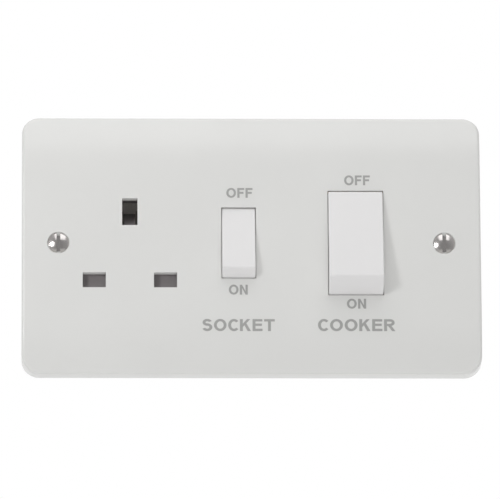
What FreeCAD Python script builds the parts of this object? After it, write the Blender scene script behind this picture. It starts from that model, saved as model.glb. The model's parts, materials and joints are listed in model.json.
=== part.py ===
"""Cooker control unit: a double plate with a switched socket and a double-pole cooker switch.

Millimetres. X runs to the right along the plate, Z up, and the front faces -Y. The wall plane is
y = 0 and the origin is the middle of the plate's back rim. Both rockers rest at OFF.
"""

import FreeCAD, Part
import math
import os
import re

import Sketcher

SIZES = [
    # Plate
    ("plate_width", 143.5),
    ("plate_height", 83.5),
    ("plate_depth", 8.0),
    ("corner_radius", 5.5),
    ("crown_flat", 52.0),
    ("crown_radius", 45.0),
    ("edge_round", 1.0),
    ("front_wall", 2.6),
    ("rim_wall", 2.5),
    ("boss_root", 0.6),
    # Fixing screws
    ("fixing_spacing", 120.6),
    ("fixing_radius", 1.75),
    ("fixing_head_radius", 3.3),
    ("fixing_head_dome", 0.8),
    ("fixing_head_sink", 0.4),
    ("fixing_tip", 22.0),
    ("fixing_plain_radius", 1.55),
    ("fixing_plain_end", 0.5),
    ("fixing_clearance", 0.2),
    ("fixing_boss_wall", 2.4),
    ("slot_width", 1.2),
    ("slot_depth", 0.8),
    # Pin slots of the socket
    ("socket_x", -38.0),
    ("pin_spacing", 22.23),
    ("earth_z", 10.1),
    ("earth_slot_width", 4.8),
    ("earth_slot_height", 8.8),
    ("pin_slot_width", 7.2),
    ("pin_slot_height", 4.9),
    # Rocker openings and rockers
    ("lip_thickness", 0.8),
    ("lip_relief", 0.9),
    ("rocker_gap", 0.18),
    ("rocker_end_gap", 0.1),
    ("rocker_throw", 12.0),
    ("rocker_wall", 1.7),
    ("rocker_round", 0.8),
    ("rocker_side_round", 0.35),
    ("trunnion_length", 2.2),
    ("bearing_clearance", 0.05),
    ("lug_wall", 1.7),
    ("lug_gap", 0.3),
    ("cooker_x", 32.6),
    ("cooker_opening_width", 17.4),
    ("cooker_opening_height", 34.1),
    ("cooker_pivot_depth", 3.1),
    ("cooker_face_rise", 9.0),
    ("cooker_skirt", 1.7),
    ("cooker_trunnion", 1.5),
    ("socket_switch_x", -4.0),
    ("socket_opening_width", 10.8),
    ("socket_opening_height", 23.3),
    ("socket_pivot_depth", 4.0),
    ("socket_face_rise", 5.6),
    ("socket_skirt", 1.5),
    ("socket_trunnion", 1.1),
    # Plungers and their springs
    ("pole_offset", 3.9),
    ("plunger_radius", 1.85),
    ("plunger_length", 7.5),
    ("plunger_reach", 4.5),
    ("plunger_gap", 0.07),
    ("guide_clearance", 0.08),
    ("guide_wall", 0.75),
    ("coil_radius", 1.45),
    ("wire_radius", 0.25),
    ("coil_turns", 4.0),
    # Rocking contact blades and tips
    ("blade_axis", 10.0),
    ("blade_front", 2.0),
    ("blade_thickness", 1.5),
    ("blade_arm", 9.5),
    ("blade_swing", 9.0),
    ("cooker_blade_width", 5.0),
    ("socket_blade_width", 4.0),
    ("fulcrum_radius", 0.8),
    ("fulcrum_clearance", 0.05),
    ("tip_radius", 1.4),
    ("tip_thickness", 0.8),
    ("tip_z", 8.0),
    ("tip_gap", 0.09),
    # Strips and socket contacts
    ("strip_thickness", 1.2),
    ("strip_margin", 1.5),
    ("strip_end", 2.0),
    ("branch_z", -15.0),
    ("branch_width", 4.0),
    ("link_z", -21.0),
    ("link_width", 4.0),
    ("link_lift", 3.4),
    ("jaw_width", 6.0),
    ("jaw_leaf", 0.8),
    ("jaw_root", 2.6),
    ("jaw_pinch", 1.8),
    ("jaw_flare", 2.9),
    ("jaw_pinch_depth", 6.2),
    ("jaw_length", 9.2),
    ("earth_jaw_length", 8.2),
    ("earth_strip_width", 9.0),
    ("earth_window_gap", 0.5),
    ("earth_bar_z", 24.5),
    # Terminals and clamp screws
    ("terminal_width", 9.0),
    ("terminal_depth", 10.0),
    ("terminal_length", 12.0),
    ("terminal_bore", 3.0),
    ("terminal_floor", 0.9),
    ("terminal_z", 19.0),
    ("terminal_pitch", 12.0),
    ("earth_terminal_x", -14.0),
    ("clamp_radius", 2.0),
    ("clamp_clearance", 0.05),
    ("clamp_head_radius", 2.7),
    ("clamp_head_height", 2.2),
    ("clamp_pitch", 6.0),
    ("clamp_lift", 0.15),
    # Shutter, its cover and spring
    ("shutter_thickness", 2.0),
    ("shutter_gap", 0.2),
    ("shutter_cover_up", 0.65),
    ("shutter_travel", 6.2),
    ("shutter_web", 8.0),
    ("wedge_width", 3.6),
    ("wedge_depth", 2.5),
    ("cover_thickness", 2.0),
    ("cover_top", 18.0),
    ("cover_edge", 1.2),
    ("window_gap", 0.5),
    ("rail_width", 1.2),
    ("peg_radius", 1.2),
    ("peg_offset", 13.0),
    ("peg_z", 14.5),
    ("shutter_spring_seat", 28.0),
    ("shutter_coil_radius", 0.85),
    ("shutter_wire_radius", 0.2),
    ("shutter_coil_turns", 6.0),
    # Rear housing and its screws
    ("housing_left", -54.8),
    ("housing_right", 50.0),
    ("housing_height", 66.0),
    ("housing_front", 0.3),
    ("housing_wall", 2.0),
    ("housing_corner", 3.0),
    ("terminal_seat_gap", 0.1),
    ("entry_gap", 0.6),
    ("access_gap", 0.25),
    ("rib_width", 2.0),
    ("barrier_width", 1.2),
    ("post_left", -48.0),
    ("post_right", 46.8),
    ("post_z", 29.0),
    ("post_radius", 3.2),
    ("housing_screw_radius", 1.2),
    ("housing_screw_clearance", 0.05),
    ("housing_screw_head", 2.3),
    ("housing_screw_head_height", 1.8),
    ("housing_screw_seat", 6.0),
    ("housing_screw_bite", 4.4),
]

doc = FreeCAD.newDocument("cooker_control_unit")
sheet = doc.addObject("Spreadsheet::Sheet", "Sizes")
for row, (alias, size) in enumerate(SIZES, start=1):
    sheet.set(f"A{row}", alias)
    sheet.set(f"B{row}", str(size))
    sheet.setAlias(f"B{row}", alias)
doc.recompute()

ALIASES = {alias for alias, size in SIZES}
X_AXIS = FreeCAD.Vector(1, 0, 0)
NEAR = 0.01
LEAST_CUT = 1e-6
nodes = []


def expand(text):
    """An expression with each size's alias written as a cell of the sheet."""
    return re.sub(r"[a-z_]+", lambda m: "Sizes." + m[0] if m[0] in ALIASES else m[0], str(text))


def number(text):
    """The value that an expression has now."""
    return float(sheet.evalExpression(expand(text)))


def bind(item, **expressions):
    """Tie properties to the sheet; a double underscore in a name stands for a dot."""
    for name, text in expressions.items():
        item.setExpression(name.replace("__", "."), expand(text))


def place(item, x="0", y="0", z="0", tilt="0"):
    """Put an object at a point, turned about X by an angle."""
    item.Placement = FreeCAD.Placement(FreeCAD.Vector(), FreeCAD.Rotation(X_AXIS, 1))
    bind(item, Placement__Base__x=x, Placement__Base__y=y, Placement__Base__z=z)
    bind(item, Placement__Rotation__Angle=tilt)
    return item


def keep(item, label):
    """Name a finished sub-part."""
    item.Label = label
    nodes.append(item)
    return item


def new_body(name):
    return doc.addObject("PartDesign::Body", name)


# Sketch outlines


def pin_point(sketch, geometry, end, x, y):
    """Fix one sketch point at two expressions."""
    for kind, text in (("DistanceX", x), ("DistanceY", y)):
        index = sketch.addConstraint(
            Sketcher.Constraint(kind, -1, 1, geometry, end, number(text))
        )
        sketch.setExpression(f"Constraints[{index}]", expand(text))


def draw_circle(sketch, x, y, radius):
    centre = FreeCAD.Vector(number(x), number(y), 0)
    ring = sketch.addGeometry(Part.Circle(centre, FreeCAD.Vector(0, 0, 1), number(radius)))
    pin_point(sketch, ring, 3, x, y)
    index = sketch.addConstraint(Sketcher.Constraint("Radius", ring, number(radius)))
    sketch.setExpression(f"Constraints[{index}]", expand(radius))


def arc_between(start, stop, radius):
    """A minor arc, anticlockwise for a positive radius."""
    chord = stop - start
    middle = (start + stop) * 0.5
    rise = math.sqrt(max(radius**2 - (chord.Length / 2) ** 2, 0.0))
    normal = FreeCAD.Vector(-chord.y, chord.x, 0).normalize()
    centre = middle + normal * (rise if radius > 0 else -rise)
    first, last = (start, stop) if radius > 0 else (stop, start)
    circle = Part.Circle(centre, FreeCAD.Vector(0, 0, 1), abs(radius))
    return Part.ArcOfCircle(circle, circle.parameter(first), circle.parameter(last))


def draw_outline(sketch, points):
    """A closed outline. A point is (x, y), or (x, y, radius) where an arc leads to the next one."""
    spots = [FreeCAD.Vector(number(p[0]), number(p[1]), 0) for p in points]
    edges = []
    for index, point in enumerate(points):
        start, stop = spots[index], spots[(index + 1) % len(spots)]
        if len(point) == 2:
            edges.append((sketch.addGeometry(Part.LineSegment(start, stop)), 1, 2))
            continue
        radius = number(point[2])
        arc = sketch.addGeometry(arc_between(start, stop, radius))
        edges.append((arc, 1, 2) if radius > 0 else (arc, 2, 1))
    for index, (edge, first, last) in enumerate(edges):
        following = edges[(index + 1) % len(edges)]
        sketch.addConstraint(
            Sketcher.Constraint("Coincident", edge, last, following[0], following[1])
        )
        pin_point(sketch, edge, first, points[index][0], points[index][1])
        if len(points[index]) == 3:
            radius = points[index][2]
            bound = sketch.addConstraint(
                Sketcher.Constraint("Radius", edge, abs(number(radius)))
            )
            sketch.setExpression(f"Constraints[{bound}]", expand(f"abs({radius})"))


def rectangle(x_low, x_high, y_low, y_high):
    return [(x_low, y_low), (x_high, y_low), (x_high, y_high), (x_low, y_high)]


def draw(body, plane, shapes, offset):
    """A sketch on one of the body's planes, moved along that plane's normal."""
    sketch = body.newObject("Sketcher::SketchObject", "Outline")
    support = next(f for f in body.Origin.OriginFeatures if f.Role == plane)
    sketch.AttachmentSupport = [(support, "")]
    sketch.MapMode = "FlatFace"
    bind(sketch, AttachmentOffset__Base__z=offset)
    for shape in shapes:
        if shape[0] == "circle":
            draw_circle(sketch, *shape[1:])
        else:
            draw_outline(sketch, shape)
    return sketch


# Features: low and high are the ends along the plane's axis (X for YZ, Y for XZ, Z for XY)


def add(body, plane, shapes, low, high):
    offset = f"-({high})" if plane == "XZ_Plane" else low
    pad = body.newObject("PartDesign::Pad", "Pad")
    pad.Profile = draw(body, plane, shapes, offset)
    bind(pad, Length=f"({high}) - ({low})")
    return pad


def take(body, plane, shapes, low, high):
    offset = f"-({low})" if plane == "XZ_Plane" else high
    pocket = body.newObject("PartDesign::Pocket", "Pocket")
    pocket.Profile = draw(body, plane, shapes, offset)
    bind(pocket, Length=f"({high}) - ({low})")
    return pocket


def turn(body, points):
    """A revolved solid about the body's Y axis, from an outline in its XY plane."""
    spin = body.newObject("PartDesign::Revolution", "Revolution")
    sketch = draw(body, "XY_Plane", [points], "0")
    spin.Profile = sketch
    spin.ReferenceAxis = (sketch, ["V_Axis"])
    spin.Angle = 360
    return spin


def round_edges(body, radius, wanted):
    """Fillet the edges of the body so far whose middle and ends pass a test."""
    doc.recompute()
    base = body.Tip
    names = []
    for index, edge in enumerate(base.Shape.Edges, start=1):
        middle = edge.valueAt((edge.FirstParameter + edge.LastParameter) / 2)
        if wanted(middle, [vertex.Point for vertex in edge.Vertexes]):
            names.append(f"Edge{index}")
    fillet = body.newObject("PartDesign::Fillet", "Fillet")
    fillet.Base = (base, names)
    bind(fillet, Radius=radius)
    return fillet


def coil(name, radius, wire, turns, length):
    """A spring along its body's Y axis from y = 0, of wire with six flats."""
    body = new_body(name)
    flats = [
        (f"{radius} + {wire} * cos({angle})", f"{wire} + {wire} * sin({angle})")
        for angle in range(0, 360, 60)
    ]
    sketch = draw(body, "XY_Plane", [flats], "0")
    helix = body.newObject("PartDesign::AdditiveHelix", "Coil")
    helix.Profile = sketch
    helix.ReferenceAxis = (sketch, ["V_Axis"])
    helix.Mode = "height-turns-angle"
    bind(helix, Height=f"({length}) - 2 * {wire}", Turns=turns)
    return body


# Shared planes and places

INNER_FACE = "(front_wall - plate_depth)"
BOSS_ROOT = f"({INNER_FACE} - boss_root)"
PIN_Z = "(earth_z - pin_spacing)"
LINE_X = "(socket_x + pin_spacing / 2)"
NEUTRAL_X = "(socket_x - pin_spacing / 2)"
STRIP_FRONT = (
    "(blade_axis - (blade_front - blade_thickness) * cos(blade_swing) + 2 * tip_thickness + tip_gap)"
)
STRIP_REAR = f"({STRIP_FRONT} + strip_thickness)"
TERMINAL_REAR = f"({STRIP_REAR} + terminal_depth)"
REAR_WALL = f"({TERMINAL_REAR} + terminal_seat_gap)"
HOUSING_REAR = f"({REAR_WALL} + housing_wall)"
SHUTTER_FRONT = f"({INNER_FACE} + shutter_gap)"
SHUTTER_REAR = f"({SHUTTER_FRONT} + shutter_thickness)"
COVER_FRONT = f"({SHUTTER_REAR} + shutter_gap)"
COVER_REAR = f"({COVER_FRONT} + cover_thickness)"
WING_HALF = "(pin_spacing / 2 + pin_slot_width / 2 + shutter_cover_up)"
WING_TOP = f"({PIN_Z} + pin_slot_height / 2 + shutter_cover_up)"
WING_BOTTOM = f"({PIN_Z} - pin_slot_height / 2 - shutter_cover_up)"
RAIL_HALF = f"({WING_HALF} + shutter_gap)"
COVER_HALF = f"({RAIL_HALF} + rail_width)"
COVER_BOTTOM = f"({PIN_Z} - pin_slot_height / 2 - window_gap - cover_edge)"
LINE_POLE = "(cooker_x - pole_offset)"
NEUTRAL_POLE = "(cooker_x + pole_offset)"
LINE_TERMINAL = "(cooker_x - terminal_pitch / 2)"
NEUTRAL_TERMINAL = "(cooker_x + terminal_pitch / 2)"
POSTS = [(x, z) for x in ("post_left", "post_right") for z in ("post_z", "-post_z")]
FIXINGS = ["-fixing_spacing / 2", "fixing_spacing / 2"]


class Switch:
    """The sizes of one rocker switch, as expressions."""

    def __init__(self, name, middle, poles, blade_width):
        self.name = name
        self.middle = middle
        self.poles = poles
        self.blade_width = blade_width
        self.opening_width = f"{name}_opening_width"
        self.opening_height = f"{name}_opening_height"
        self.pivot = f"(-{name}_pivot_depth)"
        self.rise = f"{name}_face_rise"
        self.skirt = f"{name}_skirt"
        self.trunnion = f"{name}_trunnion"
        self.width = f"({self.opening_width} - 2 * rocker_gap)"
        self.reach = (
            f"(sqrt(({self.opening_height} / 2) ^ 2"
            f" + (plate_depth - lip_thickness - {name}_pivot_depth) ^ 2) - rocker_end_gap)"
        )
        self.face_half = f"sqrt({self.reach} ^ 2 - {self.rise} ^ 2)"
        self.tip = f"(blade_axis - blade_front + {name}_pivot_depth - plunger_gap)"
        self.guide_end = f"({self.tip} - plunger_reach)"
        self.guide_top = f"(rocker_wall - {self.rise})"
        self.lug_near = f"({self.opening_width} / 2 + lug_gap)"
        self.lug_far = f"({self.width} / 2 + trunnion_length + lug_gap)"


COOKER = Switch("cooker", "cooker_x", ["-pole_offset", "pole_offset"], "cooker_blade_width")
SOCKET = Switch("socket", "socket_switch_x", ["0"], "socket_blade_width")
SWITCHES = [COOKER, SOCKET]


# Front plate


def crown(inset):
    """Section of the plate from top to bottom: a flat middle and curved bands, inset by a wall."""
    half = "(plate_height / 2)" if inset == "0" else "(plate_height / 2 - rim_wall)"
    front = f"({inset} - plate_depth)"
    radius = f"(crown_radius - {inset})"
    run = f"({half} - crown_flat / 2)"
    edge = f"(crown_radius - plate_depth - sqrt({radius} ^ 2 - {run} ^ 2))"
    return [
        ("0", f"-{half}"),
        ("0", half),
        (edge, half, radius),
        (front, "crown_flat / 2"),
        (front, "-crown_flat / 2", radius),
        (edge, f"-{half}"),
    ]


def make_shell(body):
    """Crowned outer form with rounded edges, hollowed from behind."""
    half_width, half_height = number("plate_width / 2"), number("plate_height / 2")
    corner, wall = number("corner_radius"), number("rim_wall")

    def plan_corner(middle, ends):
        upright = abs(abs(middle.x) - half_width) < NEAR
        return upright and abs(abs(middle.z) - half_height) < NEAR

    def front_loop(middle, ends):
        raised = max(point.y for point in ends) < -number("edge_round")
        outside = abs(middle.x) > half_width - corner or abs(middle.z) > half_height - corner
        return raised and outside

    def inner_corner(middle, ends):
        upright = abs(abs(middle.x) - half_width + wall) < NEAR
        return upright and abs(abs(middle.z) - half_height + wall) < NEAR

    add(body, "YZ_Plane", [crown("0")], "-plate_width / 2", "plate_width / 2")
    round_edges(body, "corner_radius", plan_corner)
    round_edges(body, "edge_round", front_loop)
    side = "(plate_width / 2 - rim_wall)"
    take(body, "YZ_Plane", [crown("front_wall")], f"-{side}", side)
    round_edges(body, "corner_radius - rim_wall", inner_corner)


def add_plate_bosses(body):
    """Ribbed screw bosses, housing posts, shutter rails, cover pegs and the shutter spring's seat."""
    boss = "fixing_radius + fixing_clearance + fixing_boss_wall"
    add(body, "XZ_Plane", [("circle", x, "0", boss) for x in FIXINGS], BOSS_ROOT, "-boss_root")
    centre, wall = "fixing_spacing / 2", "(plate_width / 2 - rim_wall / 2)"
    ribs = [
        rectangle(centre, wall, "-rib_width / 2", "rib_width / 2"),
        rectangle(f"-{wall}", f"-{centre}", "-rib_width / 2", "rib_width / 2"),
    ]
    add(body, "XZ_Plane", ribs, BOSS_ROOT, "-2 * boss_root")
    posts = [("circle", x, z, "post_radius") for x, z in POSTS]
    add(body, "XZ_Plane", posts, BOSS_ROOT, "housing_front")
    rails = [
        rectangle(f"socket_x - {COVER_HALF}", f"socket_x - {RAIL_HALF}", COVER_BOTTOM, "cover_top"),
        rectangle(f"socket_x + {RAIL_HALF}", f"socket_x + {COVER_HALF}", COVER_BOTTOM, "cover_top"),
    ]
    add(body, "XZ_Plane", rails, BOSS_ROOT, COVER_FRONT)
    pegs = [("circle", f"socket_x {side} peg_offset", "peg_z", "peg_radius") for side in "-+"]
    add(body, "XZ_Plane", pegs, BOSS_ROOT, f"{COVER_REAR} + shutter_gap")
    seat = rectangle(
        "socket_x - wedge_width", "socket_x + wedge_width",
        "-shutter_spring_seat - rail_width", "-shutter_spring_seat",
    )
    add(body, "XZ_Plane", [seat], BOSS_ROOT, COVER_FRONT)


def add_plate_lugs(body, switch):
    """A pair of bearing lugs beside one rocker opening, bored for the trunnions."""
    half = f"({switch.trunnion} + bearing_clearance + lug_wall)"
    rear = f"({switch.pivot} + {half})"
    middle = switch.middle
    lugs = [
        rectangle(f"{middle} - {switch.lug_far}", f"{middle} - {switch.lug_near}", f"-{half}", half),
        rectangle(f"{middle} + {switch.lug_near}", f"{middle} + {switch.lug_far}", f"-{half}", half),
    ]
    add(body, "XZ_Plane", lugs, BOSS_ROOT, rear)
    bore = ("circle", switch.pivot, "0", f"{switch.trunnion} + bearing_clearance")
    far = switch.lug_far
    take(body, "YZ_Plane", [bore], f"{middle} - {far}", f"{middle} + {far}")


def cut_plate_openings(body):
    """Pin slots, rocker openings with a relieved back, and the screw holes."""
    slots = [
        rectangle(
            "socket_x - earth_slot_width / 2", "socket_x + earth_slot_width / 2",
            "earth_z - earth_slot_height / 2", "earth_z + earth_slot_height / 2",
        )
    ]
    for x in (LINE_X, NEUTRAL_X):
        slots.append(rectangle(
            f"{x} - pin_slot_width / 2", f"{x} + pin_slot_width / 2",
            f"{PIN_Z} - pin_slot_height / 2", f"{PIN_Z} + pin_slot_height / 2",
        ))
    take(body, "XZ_Plane", slots, "-plate_depth - boss_root", INNER_FACE)
    for switch in SWITCHES:
        side = f"{switch.opening_width} / 2"
        top = f"{switch.opening_height} / 2"
        middle = switch.middle
        opening = rectangle(f"{middle} - {side}", f"{middle} + {side}", f"-{top}", top)
        take(body, "XZ_Plane", [opening], "-plate_depth - boss_root", INNER_FACE)
        deep = f"({top} + lip_relief)"
        relief = rectangle(f"{middle} - {side}", f"{middle} + {side}", f"-{deep}", deep)
        take(body, "XZ_Plane", [relief], "lip_thickness - plate_depth", INNER_FACE)
    hole = "fixing_radius + fixing_clearance"
    take(
        body, "XZ_Plane", [("circle", x, "0", hole) for x in FIXINGS],
        "-plate_depth - boss_root", "0",
    )
    for x in FIXINGS:
        sink = body.newObject("PartDesign::SubtractiveCone", "Countersink")
        sink.Placement = FreeCAD.Placement(FreeCAD.Vector(), FreeCAD.Rotation(X_AXIS, -90))
        bind(sink, Placement__Base__x=x, Placement__Base__y="fixing_head_sink - plate_depth")
        bind(sink, Radius1="fixing_head_radius + fixing_clearance", Radius2=hole)
        bind(sink, Height="fixing_head_radius - fixing_radius")
        mouth = ("circle", x, "0", "fixing_head_radius + fixing_clearance")
        take(body, "XZ_Plane", [mouth], "-plate_depth - boss_root", "fixing_head_sink - plate_depth")
    pilot = "housing_screw_radius + housing_screw_clearance"
    take(
        body, "XZ_Plane", [("circle", x, z, pilot) for x, z in POSTS],
        "housing_front - housing_screw_bite - boss_root", "housing_front",
    )


def make_front_plate():
    body = new_body("FrontPlate")
    make_shell(body)
    add_plate_bosses(body)
    for switch in SWITCHES:
        add_plate_lugs(body, switch)
    cut_plate_openings(body)
    keep(body, "front_plate")


# Rockers, plungers and blades


def at_pivot(body, switch, pole="0"):
    """Put a body on a rocker's pivot line, tipped to OFF."""
    place(body, f"{switch.middle} + ({pole})", switch.pivot, "0", "-rocker_throw")
    return body


def make_rocker(switch):
    """A hollow moulded rocker; its pivot is the body's origin and its face looks along -Y."""
    body = new_body(f"{switch.name}_rocker_body")
    half = f"{switch.width} / 2"
    outline = [
        (f"-{switch.rise}", f"-{switch.face_half}", switch.reach),
        ("0", f"-{switch.reach}"),
        (switch.skirt, f"-{switch.reach}"),
        (switch.skirt, switch.reach),
        ("0", switch.reach, switch.reach),
        (f"-{switch.rise}", switch.face_half),
    ]
    add(body, "YZ_Plane", [outline], f"-{half}", half)
    front, side = -number(switch.rise), number(half)

    def crease(middle, ends):
        return abs(middle.x) < NEAR and abs(middle.y - front) < NEAR

    def face_side(middle, ends):
        return abs(abs(middle.x) - side) < NEAR and middle.y < -NEAR

    round_edges(body, "rocker_round", crease)
    round_edges(body, "rocker_side_round", face_side)
    hollow = [
        (f"rocker_wall - {switch.rise}", f"rocker_wall - {switch.face_half}"),
        ("0", f"rocker_wall - {switch.reach}"),
        (f"{switch.skirt} + boss_root", f"rocker_wall - {switch.reach}"),
        (f"{switch.skirt} + boss_root", f"{switch.reach} - rocker_wall"),
        ("0", f"{switch.reach} - rocker_wall"),
        (f"rocker_wall - {switch.rise}", f"{switch.face_half} - rocker_wall"),
    ]
    take(body, "YZ_Plane", [hollow], f"rocker_wall - {half}", f"{half} - rocker_wall")
    bore = "plunger_radius + guide_clearance"
    guides = [("circle", pole, "0", f"{bore} + guide_wall") for pole in switch.poles]
    add(body, "XZ_Plane", guides, f"{switch.guide_top} - boss_root", switch.guide_end)
    bores = [("circle", pole, "0", bore) for pole in switch.poles]
    take(body, "XZ_Plane", bores, switch.guide_top, switch.guide_end)
    stub = ("circle", "0", "0", switch.trunnion)
    add(body, "YZ_Plane", [stub], f"{half} - rocker_wall", f"{half} + trunnion_length")
    add(body, "YZ_Plane", [stub], f"-({half} + trunnion_length)", f"rocker_wall - {half}")
    keep(at_pivot(body, switch), f"{switch.name}_rocker")


def make_plunger(switch, pole, label):
    """A round-nosed plunger and the spring behind it, in the rocker's guide."""
    body = new_body(f"{label}_plunger_body")
    back = f"{switch.tip} - plunger_length"
    nose = f"{switch.tip} - plunger_radius"
    turn(body, [
        ("0", back),
        ("plunger_radius", back),
        ("plunger_radius", nose, "plunger_radius"),
        ("0", switch.tip),
    ])
    keep(at_pivot(body, switch, pole), f"{label}_plunger")
    length = f"{back} - {switch.guide_top}"
    spring = coil(f"{label}_spring_body", "coil_radius", "wire_radius", "coil_turns", length)
    place(
        spring,
        f"{switch.middle} + ({pole})",
        f"{switch.pivot} + {switch.guide_top} * cos(rocker_throw)",
        f"-({switch.guide_top}) * sin(rocker_throw)",
        "-rocker_throw",
    )
    keep(spring, f"{label}_spring")


def make_blade(switch, pole, label):
    """A shallow V blade that rocks on its fulcrum, with a silver tip behind its upper arm."""
    body = new_body(f"{label}_blade_body")
    slope = "blade_arm * tan(blade_swing)"
    rear = "(blade_thickness - blade_front)"
    outline = [
        (f"-blade_front - {slope}", "-blade_arm"),
        (f"{rear} - {slope}", "-blade_arm"),
        (rear, "0"),
        (f"{rear} - {slope}", "blade_arm"),
        (f"-blade_front - {slope}", "blade_arm"),
        ("-blade_front", "0"),
    ]
    half = f"{switch.blade_width} / 2"
    add(body, "YZ_Plane", [outline], f"-{half}", half)
    groove = ("circle", "0", "0", "fulcrum_radius + fulcrum_clearance")
    take(body, "YZ_Plane", [groove], f"-{half}", half)
    middle = f"{switch.middle} + ({pole})"
    keep(place(body, middle, "blade_axis", "0", "blade_swing"), f"{label}_blade")
    tip = doc.addObject("Part::Cylinder", f"{label}_tip_disc")
    bind(tip, Radius="tip_radius", Height="tip_thickness")
    seat = f"({rear} - tip_z * tan(blade_swing))"
    place(
        tip,
        middle,
        f"blade_axis + {seat} * cos(blade_swing) - tip_z * sin(blade_swing)",
        f"{seat} * sin(blade_swing) + tip_z * cos(blade_swing)",
        "2 * blade_swing - 90",
    )
    keep(tip, f"{label}_tip")


# Strips, contacts and terminals


def make_strip(label, outline):
    """A flat conductor cut from strip, lying in the plane of the fixed tips."""
    body = new_body(f"{label}_body")
    add(body, "XZ_Plane", [outline], STRIP_FRONT, STRIP_REAR)
    keep(body, label)
    return body


def add_fulcrum(body, middle, width):
    """The round ridge that a blade rocks on, standing on a strip."""
    low, high = f"{middle} - {width} / 2", f"{middle} + {width} / 2"
    web = rectangle("blade_axis", f"{STRIP_FRONT} + boss_root", "-fulcrum_radius", "fulcrum_radius")
    add(body, "YZ_Plane", [web], low, high)
    add(body, "YZ_Plane", [("circle", "blade_axis", "0", "fulcrum_radius")], low, high)


def make_supply_strips():
    """Supply strips run from the lower terminals to the fulcrums; the line one also feeds the socket."""
    low = "-(terminal_z + terminal_length - strip_end)"
    top = "strip_margin"
    half = "cooker_blade_width / 2"
    left, right = f"{LINE_POLE} - {half}", f"{LINE_POLE} + {half}"
    feed_left = "socket_switch_x - socket_blade_width / 2"
    feed_right = "socket_switch_x + socket_blade_width / 2"
    branch_low, branch_high = "branch_z - branch_width / 2", "branch_z + branch_width / 2"
    line = make_strip("line_supply_strip", [
        (right, low), (right, top), (left, top), (left, branch_high),
        (feed_right, branch_high), (feed_right, top), (feed_left, top),
        (feed_left, branch_low), (left, branch_low), (left, low),
    ])
    add_fulcrum(line, LINE_POLE, "cooker_blade_width")
    add_fulcrum(line, "socket_switch_x", "socket_blade_width")
    neutral = make_strip(
        "neutral_supply_strip",
        rectangle(f"{NEUTRAL_POLE} - {half}", f"{NEUTRAL_POLE} + {half}", low, top),
    )
    add_fulcrum(neutral, NEUTRAL_POLE, "cooker_blade_width")


def make_load_strips():
    high = "terminal_z + terminal_length - strip_end"
    low = "tip_z - tip_radius - strip_margin"
    for label, middle in (("line_load_strip", LINE_POLE), ("neutral_load_strip", NEUTRAL_POLE)):
        half = "cooker_blade_width / 2"
        make_strip(label, rectangle(f"{middle} - {half}", f"{middle} + {half}", low, high))


def make_neutral_link():
    """A bent strip that carries neutral over the line strip to the socket."""
    left, left_rise = f"{NEUTRAL_X} - jaw_width / 2", f"{NEUTRAL_X} + jaw_width / 2"
    right_rise = f"{NEUTRAL_POLE} - cooker_blade_width / 2"
    right = f"{NEUTRAL_POLE} + cooker_blade_width / 2"
    front = f"{STRIP_FRONT} - strip_thickness"
    span = f"{STRIP_FRONT} - strip_thickness - link_lift"
    body = new_body("NeutralLink")
    outline = [
        (left, STRIP_FRONT), (left, front), (left_rise, front), (left_rise, span),
        (right_rise, span), (right_rise, front), (right, front), (right, STRIP_FRONT),
        (f"{right_rise} - strip_thickness", STRIP_FRONT),
        (f"{right_rise} - strip_thickness", f"{span} + strip_thickness"),
        (f"{left_rise} + strip_thickness", f"{span} + strip_thickness"),
        (f"{left_rise} + strip_thickness", STRIP_FRONT),
    ]
    add(body, "XY_Plane", [outline], "link_z - link_width / 2", "link_z + link_width / 2")
    keep(body, "neutral_link")


def jaw_leaf(middle, side, length):
    """Section of one sprung leaf, as (depth, offset): straight, pinched in, then flared at its mouth."""
    root = f"{STRIP_FRONT} + boss_root"
    pinch = f"{STRIP_FRONT} - jaw_pinch_depth"
    mouth = f"{STRIP_FRONT} - {length}"
    inner = [(root, "jaw_root"), (pinch, "jaw_pinch"), (mouth, "jaw_flare")]
    outer = [(depth, f"{gap} + jaw_leaf") for depth, gap in reversed(inner)]
    return [(depth, f"{middle} {side} ({gap})") for depth, gap in inner + outer]


def add_pin_jaws(body, middle):
    for side in "+-":
        leaf = jaw_leaf(PIN_Z, side, "jaw_length")
        add(body, "YZ_Plane", [leaf], f"{middle} - jaw_width / 2", f"{middle} + jaw_width / 2")


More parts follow.
